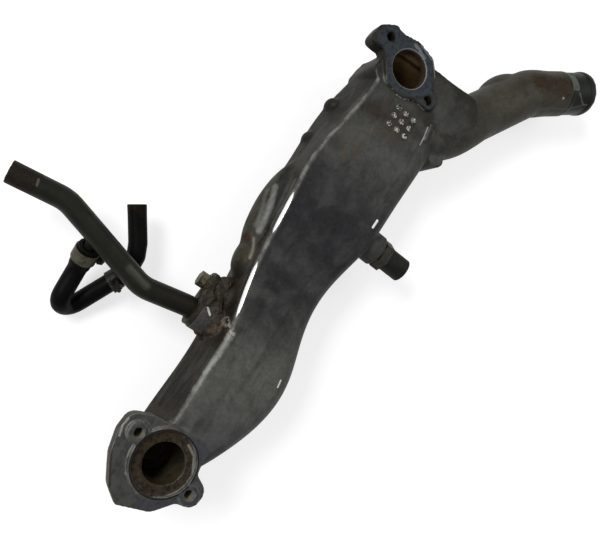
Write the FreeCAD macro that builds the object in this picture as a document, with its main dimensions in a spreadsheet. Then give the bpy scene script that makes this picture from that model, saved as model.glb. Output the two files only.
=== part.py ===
import FreeCAD, Part
import math
import os

import Sketcher

# Coolant crossover pipe of a V engine: a hollow aluminium casting with two
# port flanges, a branch for the radiator hose, a temperature sensor and a
# steel heater pipe that carries a short moulded bypass hose.
# Frame: origin at the centre of port A on the flange faces, X towards
# port B, Y towards the heater pipe, Z out of the flange faces, millimetres.

os.makedirs("parts", exist_ok=True)
doc = FreeCAD.newDocument("coolant_crossover")

SIZES = {
    # ports and their flanges
    "port_gap": 339.0,
    "port_radius": 14.5,
    "seat_radius": 21.6,
    "seat_depth": 2.5,
    "neck_radius": 19.5,
    "flange_depth": 13.0,
    "step_depth": 2.5,
    "bolt_circle": 56.0,
    "bolt_angle": 70.0,
    "bolt_bore": 6.8,
    "bolt_deep": 18.0,
    # duct
    "wall": 4.5,
    "duct_top": -3.0,
    "duct_floor": -50.0,
    "ridge_round": 5.0,
    "side_round": 16.0,
    "floor_round": 9.0,
    # radiator branch
    "branch_level": -31.0,
    "branch_radius": 21.0,
    "branch_bore": 16.8,
    "branch_yaw": -31.0,
    "outlet_yaw": -50.15,
    "branch_bend": 23.0,
    "outlet_reach": 66.6,
    "outlet_radius": 20.2,
    "outlet_taper": 12.0,
    "spigot_radius": 19.2,
    "spigot_reach": 27.0,
    "bead_radius": 20.0,
    "bead_width": 4.0,
    # heater pipe and its boss
    "heater_x": 97.4,
    "heater_level": -27.0,
    "heater_face": 32.0,
    "heater_boss": 12.8,
    "heater_port": 10.3,
    "heater_radius": 8.0,
    "heater_bore": 6.7,
    "heater_bend": 26.0,
    "tab_thick": 3.0,
    "tab_offset": 21.0,
    "lug_radius": 8.5,
    "ring_section": 0.85,
    # bypass hose
    "hose_radius": 6.9,
    "hose_bore": 4.3,
    "nipple_radius": 4.2,
    "nipple_bore": 3.0,
    "band_width": 9.0,
    "band_thick": 0.8,
    # temperature sensor
    "sensor_x": 215.5,
    "sensor_level": -27.0,
    "sensor_face": -66.0,
    "sensor_boss": 13.0,
    "sensor_thread": 6.0,
    "sensor_flats": 22.0,
    "sensor_shell": 9.8,
}

sheet = doc.addObject("Spreadsheet::Sheet", "sizes")
for row, (alias, number) in enumerate(SIZES.items(), 1):
    sheet.set("A%d" % row, alias)
    sheet.set("B%d" % row, "%g" % number)
    sheet.setAlias("B%d" % row, alias)
doc.recompute()


class Size:
    """A number with the sheet expression that drives it."""

    def __init__(self, value, text):
        self.value = value
        self.text = text

    def __add__(self, other):
        other = as_size(other)
        return Size(self.value + other.value, "(%s + %s)" % (self.text, other.text))

    def __sub__(self, other):
        other = as_size(other)
        return Size(self.value - other.value, "(%s - %s)" % (self.text, other.text))

    def __rsub__(self, other):
        return as_size(other) - self

    def __mul__(self, factor):
        return Size(self.value * factor, "(%s * %g)" % (self.text, factor))

    def __neg__(self):
        return self * -1.0

    __radd__ = __add__
    __rmul__ = __mul__


def as_size(item):
    return item if isinstance(item, Size) else Size(float(item), "%g" % item)


def size(alias):
    return Size(float(SIZES[alias]), "sizes." + alias)


def bind(item, prop, value):
    """Set a property and tie it to the sheet where the value comes from there."""
    value = as_size(value)
    if value.text.startswith("sizes.") or value.text.startswith("("):
        item.setExpression(prop, value.text)
    return value.value


def vector(x, y, z=0.0):
    return FreeCAD.Vector(as_size(x).value, as_size(y).value, as_size(z).value)


def heading(yaw):
    """The level direction at an angle from X."""
    turn = math.radians(as_size(yaw).value)
    return FreeCAD.Vector(math.cos(turn), math.sin(turn), 0)


X_AXIS = FreeCAD.Vector(1, 0, 0)
Y_AXIS = FreeCAD.Vector(0, 1, 0)
Z_AXIS = FreeCAD.Vector(0, 0, 1)


def add_body(name):
    body = doc.addObject("PartDesign::Body", name)
    body.Label = name
    return body


def plane_of(body, role):
    for item in body.Origin.OriginFeatures:
        if item.Role == role:
            return item
    return None


def add_sketch(body, name, role, offset=0.0):
    sketch = body.newObject("Sketcher::SketchObject", name)
    sketch.AttachmentSupport = (plane_of(body, role), [""])
    sketch.MapMode = "FlatFace"
    depth = as_size(offset)
    sketch.AttachmentOffset = FreeCAD.Placement(
        FreeCAD.Vector(0, 0, depth.value), FreeCAD.Rotation())
    bind(sketch, "AttachmentOffset.Base.z", depth)
    sketch.Visibility = False
    return sketch


def constrain(sketch, *parts):
    """Add one dimension whose last part may come from the sheet."""
    value = as_size(parts[-1])
    index = sketch.addConstraint(Sketcher.Constraint(*parts[:-1], value.value))
    bind(sketch, "Constraints[%d]" % index, value)


def draw_circle(sketch, x, y, radius):
    centre = vector(x, y)
    circle = Part.Circle(centre, FreeCAD.Vector(0, 0, 1), as_size(radius).value)
    item = sketch.addGeometry(circle, False)
    constrain(sketch, "Radius", item, radius)
    constrain(sketch, "DistanceX", -1, 1, item, 3, x)
    constrain(sketch, "DistanceY", -1, 1, item, 3, y)


def corner_arc(before, corner, after, radius):
    """Tangent points, arc and turn of a rounded corner."""
    back = (before - corner).normalize()
    ahead = (after - corner).normalize()
    half = back.getAngle(ahead) / 2.0
    start = corner + back * (radius / math.tan(half))
    end = corner + ahead * (radius / math.tan(half))
    centre = corner + (back + ahead).normalize() * (radius / math.sin(half))
    left = (corner - before).cross(after - corner).z > 0
    first, last = (start, end) if left else (end, start)
    angles = [math.atan2(p.y - centre.y, p.x - centre.x) for p in (first, last)]
    circle = Part.Circle(centre, FreeCAD.Vector(0, 0, 1), radius)
    return start, end, Part.ArcOfCircle(circle, angles[0], angles[1]), left


def draw_outline(sketch, corners):
    """A closed anticlockwise outline of lines with rounded corners (x, y, radius)."""
    count = len(corners)
    points = [vector(x, y) for x, y, _ in corners]
    radii = [as_size(r).value for _, _, r in corners]
    bends = [corner_arc(points[i - 1], points[i], points[(i + 1) % count], radii[i])
             for i in range(count)]
    base = sketch.GeometryCount
    lines = [Part.LineSegment(bends[i][1], bends[(i + 1) % count][0]) for i in range(count)]
    sketch.addGeometry(lines, False)
    sketch.addGeometry([bend[2] for bend in bends], False)
    sketch.addGeometry([Part.Point(point) for point in points], True)
    for i, (x, y, radius) in enumerate(corners):
        line_in = base + (i - 1) % count
        line_out = base + i
        arc = base + count + i
        mark = base + 2 * count + i
        first, last = (1, 2) if bends[i][3] else (2, 1)
        sketch.addConstraint([
            Sketcher.Constraint("Tangent", line_in, 2, arc, first),
            Sketcher.Constraint("Tangent", line_out, 1, arc, last),
            Sketcher.Constraint("PointOnObject", mark, 1, line_in),
            Sketcher.Constraint("PointOnObject", mark, 1, line_out),
        ])
        constrain(sketch, "Radius", arc, radius)
        constrain(sketch, "DistanceX", -1, 1, mark, 1, x)
        constrain(sketch, "DistanceY", -1, 1, mark, 1, y)


def draw_polygon(sketch, points):
    """A closed outline of straight lines through points given by sizes."""
    spots = [vector(x, y) for x, y in points]
    count = len(spots)
    base = sketch.GeometryCount
    sketch.addGeometry([Part.LineSegment(spots[i], spots[(i + 1) % count])
                        for i in range(count)], False)
    for i, (x, y) in enumerate(points):
        line = base + i
        sketch.addConstraint(Sketcher.Constraint("Coincident", base + (i - 1) % count, 2, line, 1))
        constrain(sketch, "DistanceX", -1, 1, line, 1, x)
        constrain(sketch, "DistanceY", -1, 1, line, 1, y)


def draw_path(sketch, points, radii):
    """An open path of lines with a tangent arc at each inner corner."""
    spots = [vector(x, y) for x, y in points]
    here = spots[0]
    items = []
    for i, radius in enumerate(radii, 1):
        start, end, arc, left = corner_arc(
            spots[i - 1], spots[i], spots[i + 1], as_size(radius).value)
        items += [Part.LineSegment(here, start), arc]
        here = end
    items.append(Part.LineSegment(here, spots[-1]))
    sketch.addGeometry(items, False)


def add_pad(body, name, sketch, length, reverse=False, cut=False):
    pad = body.newObject("PartDesign::Pocket" if cut else "PartDesign::Pad", name)
    pad.Profile = sketch
    pad.Length = bind(pad, "Length", length)
    pad.Reversed = reverse
    return pad


def add_box(body, name, base, turn, length, width, height, cut=False):
    kind = "Subtractive" if cut else "Additive"
    box = body.newObject("PartDesign::%sBox" % kind, name)
    box.Length = bind(box, "Length", length)
    box.Width = bind(box, "Width", width)
    box.Height = bind(box, "Height", height)
    place(box, base, turn)
    return box


def round_edges(body, name, base, radius, chosen):
    """Round the edges of the last feature that a test on the edge picks."""
    doc.recompute()
    names = ["Edge%d" % (i + 1) for i, edge in enumerate(base.Shape.Edges) if chosen(edge)]
    fillet = body.newObject("PartDesign::Fillet", name)
    fillet.Base = (base, names)
    fillet.Radius = bind(fillet, "Radius", radius)
    return fillet


def add_loft(body, name, sections, cut=False):
    loft = body.newObject(
        "PartDesign::SubtractiveLoft" if cut else "PartDesign::AdditiveLoft", name)
    loft.Profile = sections[0]
    loft.Sections = sections[1:]
    return loft


def place(item, base, axis):
    """Put a primitive at a base given by sizes, its own Z along an axis or turned by a rotation."""
    turn = axis if isinstance(axis, FreeCAD.Rotation) else FreeCAD.Rotation(Z_AXIS, axis)
    item.Placement = FreeCAD.Placement(vector(*base), turn)
    for name, value in zip("xyz", base):
        bind(item, "Placement.Base." + name, value)


def add_cylinder(body, name, base, axis, radius, height, cut=False):
    kind = "Subtractive" if cut else "Additive"
    item = body.newObject("PartDesign::%sCylinder" % kind, name)
    item.Radius = bind(item, "Radius", radius)
    item.Height = bind(item, "Height", height)
    place(item, base, axis)
    return item


def add_cone(body, name, base, axis, first, last, height, cut=False):
    kind = "Subtractive" if cut else "Additive"
    item = body.newObject("PartDesign::%sCone" % kind, name)
    item.Radius1 = bind(item, "Radius1", first)
    item.Radius2 = bind(item, "Radius2", last)
    item.Height = bind(item, "Height", height)
    place(item, base, axis)
    return item


# Casting

casting = add_body("crossover_casting")

# Duct stations along X: ridge edge, foot of the heater side, far side
STATIONS = [
    (-10.0, 11.0, 18.0, -15.0),
    (18.0, 11.5, 20.0, -35.0),
    (45.0, 9.8, 18.5, -48.0),
    (75.0, 10.4, 17.5, -54.5),
    (105.0, 12.0, 19.5, -50.0),
    (140.0, 19.5, 23.5, -42.0),
    (165.0, 22.4, 26.5, -43.2),
    (200.0, 25.2, 30.5, -51.8),
    (235.0, 27.8, 31.0, -55.5),
    (270.0, 23.3, 31.0, -57.3),
    (305.0, 18.0, 27.0, -58.5),
    (340.0, 15.5, 23.5, -58.5),
]


def quarter(x, y, into_x, into_y, radius, steps, upward):
    """Points of a quarter round at a corner, given the way into the material."""
    points = []
    for k in range(steps + 1):
        turn = math.radians(90.0 * (k if upward else steps - k) / steps)
        points.append((x + radius * (into_x * (1.0 - math.cos(turn))),
                       y + radius * (into_y * (1.0 - math.sin(turn)))))
    return points


def duct_section(body, name, x, ridge, foot, far, skin, steps):
    """One cross-section of the duct, taken in from the outside by the skin."""
    sketch = add_sketch(body, name, "YZ_Plane", x)
    top = size("duct_top") - skin
    floor = size("duct_floor") + skin
    inside = skin * 0.6
    low = size("floor_round") - inside
    draw_polygon(sketch, (
        quarter(far + skin, floor, 1, 1, low, steps[0], True)
        + quarter(foot - skin, floor, -1, 1, low, steps[1], False)
        + quarter(ridge - skin, top, -1, -1, size("ridge_round") - inside, steps[2], True)
        + quarter(far + skin, top, 1, -1, size("side_round") - inside, steps[3], False)))
    return sketch


no_skin = Size(0.0, "0")
outer = [duct_section(casting, "duct_outer_%d" % i, *station, no_skin, (3, 3, 3, 5))
         for i, station in enumerate(STATIONS)]
duct = add_loft(casting, "duct", outer)

# Closed end of the duct below port B and the branch root
end_plan = add_sketch(casting, "duct_end_plan", "XY_Plane", size("duct_top"))
draw_outline(end_plan, [
    (318.0, -57.5, 8.0),
    (346.0, -78.0, 8.0),
    (363.5, -64.0, 10.0),
    (356.0, -14.0, 18.0),
    (350.0, 21.0, 20.0),
    (318.0, 24.5, 8.0),
])
duct_end = add_pad(casting, "duct_end", end_plan,
                   size("duct_top") - size("duct_floor"), reverse=True)

# Port flanges
bolt_turn = math.radians(SIZES["bolt_angle"])
bolt_step = FreeCAD.Vector(math.cos(bolt_turn), math.sin(bolt_turn), 0) * (SIZES["bolt_circle"] / 2)

BOSS_RADIUS = {"a": 7.6, "b": 6.8}

FLANGE_A = [
    (25.0, -23.0, 8.0),
    (4.0, -24.5, 5.0),
    (-2.5, -36.5, 8.5),
    (-17.0, -35.5, 8.0),
    (-19.0, -21.5, 5.0),
    (-31.0, -9.5, 8.0),
    (-36.5, 14.0, 5.0),
    (-28.0, 25.0, 12.0),
    (-10.5, 34.8, 8.0),
    (5.0, 38.8, 10.0),
    (18.0, 37.5, 8.0),
    (24.0, 22.0, 10.0),
]
FLANGE_B = [
    (340.5, -24.0, 4.0),
    (337.5, -33.8, 6.0),
    (322.5, -33.8, 6.0),
    (322.5, -19.0, 8.0),
    (316.0, -5.0, 12.0),
    (317.5, 11.0, 8.0),
    (336.0, 25.0, 4.0),
    (334.5, 40.5, 5.0),
    (351.0, 38.0, 7.0),
    (359.5, 27.5, 6.0),
    (358.5, 18.0, 4.0),
    (362.5, 4.0, 12.0),
    (360.0, -13.0, 10.0),
    (350.0, -21.5, 8.0),
]

for side, outline, x in (("a", FLANGE_A, 0.0), ("b", FLANGE_B, size("port_gap"))):
    step = size("step_depth") if side == "a" else Size(0.0, "0")
    plan = add_sketch(casting, "flange_%s_plan" % side, "XY_Plane", -step)
    draw_outline(plan, outline)
    add_pad(casting, "flange_%s" % side, plan, size("flange_depth") - step, reverse=True)
    add_cylinder(casting, "neck_%s" % side, (x, 0.0, size("duct_floor")), Z_AXIS,
                 size("neck_radius"), -size("duct_floor"))
add_cylinder(casting, "seat_wall_a", (0.0, 0.0, -size("flange_depth")), Z_AXIS,
             size("seat_radius") + 2.6, size("flange_depth"))
for sign in (1.0, -1.0):
    for side, x in (("a", 0.0), ("b", SIZES["port_gap"])):
        name = "bolt_boss_%s_%d" % (side, 1 if sign > 0 else 2)
        spot = FreeCAD.Vector(x, 0, 0) + bolt_step * sign
        add_cylinder(casting, name, (spot.x, spot.y, -size("bolt_deep") - 4.0), Z_AXIS,
                     BOSS_RADIUS[side], size("bolt_deep") + 4.0)

# Radiator branch
flow = heading(size("branch_yaw"))
outlet = heading(size("outlet_yaw"))
bend_point = FreeCAD.Vector(421.0, -116.74, 0)
root_point = bend_point - flow * 104.5
taper_point = bend_point + outlet * 10.0
mouth_point = bend_point + outlet * SIZES["outlet_reach"]
spigot_point = mouth_point - outlet * SIZES["spigot_reach"]


def level(point):
    return (point.x, point.y, size("branch_level"))


branch_path = add_sketch(casting, "branch_path", "XY_Plane", size("branch_level"))
draw_path(branch_path, [(root_point.x, root_point.y), (bend_point.x, bend_point.y),
                        (taper_point.x, taper_point.y)], [size("branch_bend")])
branch_ring = add_sketch(casting, "branch_ring", "XY_Plane")
branch_ring.AttachmentOffset = FreeCAD.Placement(
    FreeCAD.Vector(root_point.x, root_point.y, SIZES["branch_level"]),
    FreeCAD.Rotation(Z_AXIS, flow))
draw_circle(branch_ring, 0.0, 0.0, size("branch_radius"))
branch = casting.newObject("PartDesign::AdditivePipe", "branch")
branch.Profile = branch_ring
branch.Spine = (branch_path, [""])
add_cone(casting, "outlet_cone", level(taper_point), outlet, size("branch_radius"),
         size("outlet_radius"), size("outlet_taper"))
add_cylinder(casting, "outlet_tube", level(taper_point), outlet, size("outlet_radius"),
             size("outlet_reach") - size("spigot_reach") - 10.0)

# Root of the branch: from a squarish duct corner to the round of the branch
ROOT_SECTIONS = [
    (-30.0, -9.0, 14.0, -49.0, -4.5, 10.0, 7.0),
    (-8.0, -20.5, 21.5, -50.0, -4.0, 18.0, 8.0),
    (22.0, -22.3, 22.6, -50.8, -6.0, 21.0, 14.0),
    (60.0, -20.3, 20.3, -51.3, -10.7, 20.2, 20.2),
]
flow_side = Z_AXIS.cross(flow)
root_plans = []
for number, (along, near, far, floor, top, outer_round, inner_round) in enumerate(
        ROOT_SECTIONS, 1):
    plan = add_sketch(casting, "root_plan_%d" % number, "XY_Plane")
    spot = root_point + flow * along
    plan.AttachmentOffset = FreeCAD.Placement(
        FreeCAD.Vector(spot.x, spot.y, 0), FreeCAD.Rotation(flow_side, Z_AXIS, flow, "ZXY"))
    draw_outline(plan, [(near, floor, outer_round), (far, floor, inner_round),
                        (far, top, inner_round), (near, top, outer_round)])
    root_plans.append(plan)
add_loft(casting, "branch_blend", root_plans)
add_cylinder(casting, "spigot", level(spigot_point - outlet * 2.0), outlet,
             size("spigot_radius"), size("spigot_reach") + 2.0)
bead_point = mouth_point - outlet * 6.5
add_cylinder(casting, "bead", level(bead_point), outlet,
             size("bead_radius"), size("bead_width"))

# Side bosses
add_cylinder(casting, "heater_boss_body", (size("heater_x"), 2.0, size("heater_level")),
             Y_AXIS, size("heater_boss"), size("heater_face") - 2.0)
add_cylinder(casting, "tab_lug", (size("heater_x") + size("tab_offset"), 8.0, size("heater_level")),
             Y_AXIS, size("lug_radius"), size("heater_face") - 8.0)
add_cylinder(casting, "sensor_boss_body", (size("sensor_x"), -42.0, size("sensor_level")),
             -Y_AXIS, size("sensor_boss"), -size("sensor_face") - 42.0)

# Smooth cast swellings on the heater side and small plain cast marks
SWELLINGS = [
    ("long_lobe", (194.0, 25.0, -28.0), (42.0, 13.5, 14.0)),
    ("oval_lobe", (151.0, 19.5, -26.0), (19.0, 12.0, 14.5)),
    ("foot_bump_1", (257.0, 27.0, -37.0), (7.0, 6.5, 8.0)),
    ("foot_bump_2", (291.0, 26.0, -37.0), (7.0, 6.5, 8.0)),
]
branch_swelling = root_point + flow * 81.0 + flow_side * 10.0 - Z_AXIS * 35.0
SWELLINGS.append(("branch_swelling", tuple(branch_swelling), (26.0, 15.5, 15.0)))
for name, spot, reach in SWELLINGS:
    swelling = casting.newObject("PartDesign::AdditiveEllipsoid", name)
    swelling.Radius1 = reach[2]
    swelling.Radius2 = reach[0]
    swelling.Radius3 = reach[1]
    along = flow if name.startswith("branch") else X_AXIS
    place(swelling, spot, FreeCAD.Rotation(along, Z_AXIS.cross(along), Z_AXIS, "ZXY"))
add_cylinder(casting, "root_boss", (303.0, -63.5, -40.0), Z_AXIS, 7.0, 30.0)

marks = add_sketch(casting, "mark_plan", "XY_Plane", size("duct_top") - 0.5)
for column in range(3):
    for line in range(3):
        draw_circle(marks, 294.5 + 7.6 * column, -10.0 - 8.0 * line, 1.9)
add_pad(casting, "marks", marks, 1.7)
rib = add_sketch(casting, "rib_plan", "XY_Plane", size("duct_top") - 0.5)
draw_outline(rib, [(303.0, -45.0, 0.9), (318.0, -43.0, 0.9), (318.0, -40.8, 0.9), (303.0, -42.8, 0.9)])
add_pad(casting, "rib", rib, 1.6)

# Waterways
inner = [duct_section(casting, "duct_inner_%d" % i, *station, size("wall"), (1, 1, 1, 2))
         for i, station in enumerate(STATIONS)]
add_loft(casting, "duct_cavity", inner, cut=True).Ruled = True
end_room = add_sketch(casting, "end_room_plan", "XY_Plane", size("duct_top") - size("wall"))
draw_outline(end_room, [
    (322.0, -54.0, 6.0),
    (344.5, -72.5, 6.0),
    (358.5, -61.5, 7.0),
    (351.5, -13.5, 14.0),
    (347.5, 16.5, 16.0),
    (322.0, 20.0, 6.0),
])
add_pad(casting, "end_room", end_room,
        size("duct_top") - size("duct_floor") - size("wall") * 2.0, cut=True)
room = size("duct_floor") + size("wall")
ceiling = size("duct_top") - size("wall")
add_cylinder(casting, "room_a", (0.0, 0.0, room), Z_AXIS, size("port_radius") + 1.0,
             ceiling - room, cut=True)
add_cylinder(casting, "bore_a", (0.0, 0.0, ceiling), Z_AXIS, size("port_radius"),
             5.0 - ceiling, cut=True)
add_cylinder(casting, "seat_a", (0.0, 0.0, -size("seat_depth")), Z_AXIS,
             size("seat_radius"), size("seat_depth") + 5.0, cut=True)
add_cylinder(casting, "bore_b", (size("port_gap"), 0.0, ceiling), Z_AXIS,
             size("port_radius"), 5.0 - ceiling, cut=True)
add_cone(casting, "mouth_b", (size("port_gap"), 0.0, -1.5), Z_AXIS,
         size("port_radius"), size("port_radius") + 1.5, 1.5, cut=True)

bore_path = add_sketch(casting, "bore_path", "XY_Plane", size("branch_level"))
far_point = mouth_point + outlet * 5.0
draw_path(bore_path, [(root_point.x, root_point.y), (bend_point.x, bend_point.y),
                      (far_point.x, far_point.y)], [size("branch_bend")])
bore_ring = add_sketch(casting, "bore_ring", "XY_Plane")
bore_ring.AttachmentOffset = branch_ring.AttachmentOffset
draw_circle(bore_ring, 0.0, 0.0, size("branch_bore"))
branch_bore = casting.newObject("PartDesign::SubtractivePipe", "branch_bore")
branch_bore.Profile = bore_ring
branch_bore.Spine = (bore_path, [""])

# Threaded and drilled holes
bolt_holes = add_sketch(casting, "bolt_hole_plan", "XY_Plane")
for x in (0.0, SIZES["port_gap"]):
    for sign in (1.0, -1.0):
        draw_circle(bolt_holes, x + bolt_step.x * sign, bolt_step.y * sign, size("bolt_bore") * 0.5)
doc.recompute()
holes = casting.newObject("PartDesign::Hole", "bolt_holes")
holes.Profile = bolt_holes
holes.Diameter = bind(holes, "Diameter", size("bolt_bore"))
holes.DepthType = "Dimension"
holes.Depth = bind(holes, "Depth", size("bolt_deep"))
holes.DrillPoint = "Angled"
add_cylinder(casting, "heater_port", (size("heater_x"), 4.0, size("heater_level")), Y_AXIS,
             size("heater_port"), 40.0, cut=True)
add_cylinder(casting, "tab_hole", (size("heater_x") + size("tab_offset"), 16.0, size("heater_level")),
             Y_AXIS, 3.3, 20.0, cut=True)
add_cylinder(casting, "sensor_port", (size("sensor_x"), -36.0, size("sensor_level")), -Y_AXIS,
             size("sensor_thread") + 0.05, 40.0, cut=True)

# Heater pipe with its brazed nipple; its route runs from the axis of its port

PIPE_ROUTE = [(0.0, 12.0), (0.0, 38.0), (-6.4, 73.0), (14.6, 145.0), (9.2, 183.5)]
PIPE_BENDS = [40.0, size("heater_bend"), size("heater_bend")]
mid = size("heater_level")


def heater_spot(x, y, z=0.0):
    """A place given from the axis of the heater port."""
    return (size("heater_x") + x, y, mid + z)


def add_tube(body, route, bends, outside, inside, extra):
    """A bent round tube in the level plane of the heater port that starts along Y."""
    for part, radius, kind, spare in (("tube", outside, "Additive", 0.0),
                                      ("bore", inside, "Subtractive", extra)):
        path = add_sketch(body, body.Name + "_%s_path" % part, "XY_Plane", mid)
        path.AttachmentOffset = FreeCAD.Placement(vector(*heater_spot(0.0, 0.0)), FreeCAD.Rotation())
        bind(path, "AttachmentOffset.Base.x", size("heater_x"))
        first, last = vector(*route[0]), vector(*route[-1])
        ahead = (last - vector(*route[-2])).normalize()
        start = (first.x, first.y - spare)
        end = (last.x + ahead.x * spare, last.y + ahead.y * spare)
        draw_path(path, [start] + route[1:-1] + [end], bends)
        ring = add_sketch(body, body.Name + "_%s_ring" % part, "XZ_Plane", -start[1])
        draw_circle(ring, size("heater_x") + start[0], mid, radius)
        pipe = body.newObject("PartDesign::%sPipe" % kind, body.Name + "_" + part)
        pipe.Profile = ring
        pipe.Spine = (path, [""])


pipe_body = add_body("heater_pipe")
HOSE_ROUTE = [(-1.6, 115.7, -8.5), (-17.9, 113.5, -22.6), (-44.6, 111.2, -24.0),
              (-44.6, 101.6, -39.0), (6.7, 79.7, -23.0), (41.9, 105.2, -19.0)]
hose_start = FreeCAD.Vector(*HOSE_ROUTE[0])
hose_way = (FreeCAD.Vector(*HOSE_ROUTE[1]) - hose_start).normalize()
nipple_root = hose_start - hose_way * 9.0
nipple_tip = hose_start + hose_way * 12.0
add_cylinder(pipe_body, "nipple", heater_spot(*nipple_root), hose_way, size("nipple_radius"), 24.0)
add_cylinder(pipe_body, "nipple_bead", heater_spot(*nipple_tip), hose_way,
             size("nipple_radius") + 0.6, 3.0)
add_tube(pipe_body, PIPE_ROUTE, PIPE_BENDS, size("heater_radius"), size("heater_bore"), 2.0)
for name, y in (("seal_bead_inner", 15.0), ("seal_bead_outer", 20.2)):
    add_cylinder(pipe_body, name, heater_spot(0.0, y), Y_AXIS, size("heater_radius") + 1.9, 2.0)
    add_cylinder(pipe_body, name + "_bore", heater_spot(0.0, y), Y_AXIS, size("heater_bore"), 2.0,
                 cut=True)
add_cylinder(pipe_body, "nipple_bore", heater_spot(*nipple_root), hose_way, size("nipple_bore"),
             40.0, cut=True)

# Rubber ring in the groove between the two beads
seal = add_body("pipe_o_ring")
seal_plan = add_sketch(seal, "ring_plan", "XY_Plane", mid)
seal_plan.AttachmentOffset = FreeCAD.Placement(vector(*heater_spot(0.0, 0.0)), FreeCAD.Rotation())
bind(seal_plan, "AttachmentOffset.Base.x", size("heater_x"))
ring_middle = (size("heater_radius") + size("heater_port")) * 0.5
EIGHTHS = [math.radians(22.5 + 45.0 * k) for k in range(8)]
draw_polygon(seal_plan, [(ring_middle + size("ring_section") * math.cos(turn),
                          18.6 + size("ring_section") * math.sin(turn)) for turn in EIGHTHS])
seal_ring = seal.newObject("PartDesign::Revolution", "ring_turn")
seal_ring.Profile = seal_plan
seal_ring.ReferenceAxis = (seal_plan, ["V_Axis"])
seal_ring.Angle = 360.0

# Fixing tab on the heater pipe and its bolt
tab = add_body("pipe_bracket")
tab_plan = add_sketch(tab, "tab_plan", "XZ_Plane", -size("heater_face"))
bolt_x = size("heater_x") + size("tab_offset")
draw_outline(tab_plan, [
    (size("heater_x") - 12.0, mid - 12.5, 11.0),
    (size("heater_x") + 11.5, mid - 12.5, 11.0),
    (bolt_x + 9.0, mid - 8.5, 7.0),
    (bolt_x + 9.0, mid + 8.5, 7.0),
    (size("heater_x") + 11.5, mid + 12.5, 11.0),
    (size("heater_x") - 12.0, mid + 12.5, 11.0),
])
draw_circle(tab_plan, size("heater_x"), mid, size("heater_radius") + 0.3)
draw_circle(tab_plan, bolt_x, mid, 3.4)
add_pad(tab, "tab_plate", tab_plan, size("tab_thick"), reverse=True)


def draw_hexagon(sketch, x, y, flats):
    """A hexagon across flats, held by its corner points."""
    draw_polygon(sketch, [
        (x + flats * (math.cos(math.radians(60 * k)) / math.sqrt(3.0)),
         y + flats * (math.sin(math.radians(60 * k)) / math.sqrt(3.0))) for k in range(6)])


bolt = add_body("bracket_bolt")
face = size("heater_face") + size("tab_thick")
add_cylinder(bolt, "bolt_shank", (bolt_x, 18.0, mid), Y_AXIS, 3.0, face - 18.0)
add_cylinder(bolt, "bolt_flange", (bolt_x, face, mid), Y_AXIS, 6.8, 1.6)
hex_plan = add_sketch(bolt, "hex_plan", "XZ_Plane", -(face + 1.6))
draw_hexagon(hex_plan, bolt_x, mid, Size(10.0, "10"))
add_pad(bolt, "bolt_hex", hex_plan, 6.4, reverse=True)

# Bypass hose, moulded to its bends, over the nipple and open at its far end
HOSE_BENDS = [20.0, 8.2, 8.2, 28.0]


def rounded_route(route, bends, step=20.0):
    """Points of a route whose inner corners are rounded in short straight steps."""
    spots = [FreeCAD.Vector(*spot) for spot in route]
    points = [spots[0]]
    for i, radius in enumerate(bends, 1):
        back = (spots[i - 1] - spots[i]).normalize()
        ahead = (spots[i + 1] - spots[i]).normalize()
        half = back.getAngle(ahead) / 2.0
        centre = spots[i] + (back + ahead).normalize() * (radius / math.sin(half))
        spoke = spots[i] + back * (radius / math.tan(half)) - centre
        turn = math.pi - 2.0 * half
        count = max(2, round(math.degrees(turn) / step))
        for k in range(count + 1):
            angle = turn * k / count
            points.append(centre + spoke * math.cos(angle) - back * (radius * math.sin(angle)))
    points.append(spots[-1])
    return points


hose_path = doc.addObject("Part::Feature", "hose_path")
hose_path.Shape = Part.makePolygon(rounded_route(HOSE_ROUTE, HOSE_BENDS))
place(hose_path, heater_spot(0.0, 0.0), Z_AXIS)
edge_names = ["Edge%d" % (i + 1) for i in range(len(hose_path.Shape.Edges))]
runs = {}
for name, radius, spread, reach in (("outside", size("hose_radius"), size("hose_radius") + 0.9, 19.0),
                                    ("inside", size("hose_bore"), size("nipple_radius") + 0.9, 18.0)):
    ring = doc.addObject("Part::Circle", "hose_%s_ring" % name)
    ring.Radius = bind(ring, "Radius", radius)
    place(ring, heater_spot(*hose_start), hose_way)
    sweep = doc.addObject("Part::Sweep", "hose_%s" % name)
    sweep.Sections = [ring]
    sweep.Spine = (hose_path, edge_names)
    sweep.Transition = "Right corner"
    sweep.Solid = True
    sleeve = doc.addObject("Part::Cylinder", "sleeve_%s" % name)
    sleeve.Radius = bind(sleeve, "Radius", spread)
    sleeve.Height = reach
    place(sleeve, heater_spot(*hose_start), hose_way)
    runs[name] = doc.addObject("Part::MultiFuse", "hose_%s_run" % name)
    runs[name].Shapes = [sweep, sleeve]
hose = doc.addObject("Part::Cut", "bypass_hose")
hose.Label = "bypass_hose"
hose.Base = runs["outside"]
hose.Tool = runs["inside"]


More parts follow.
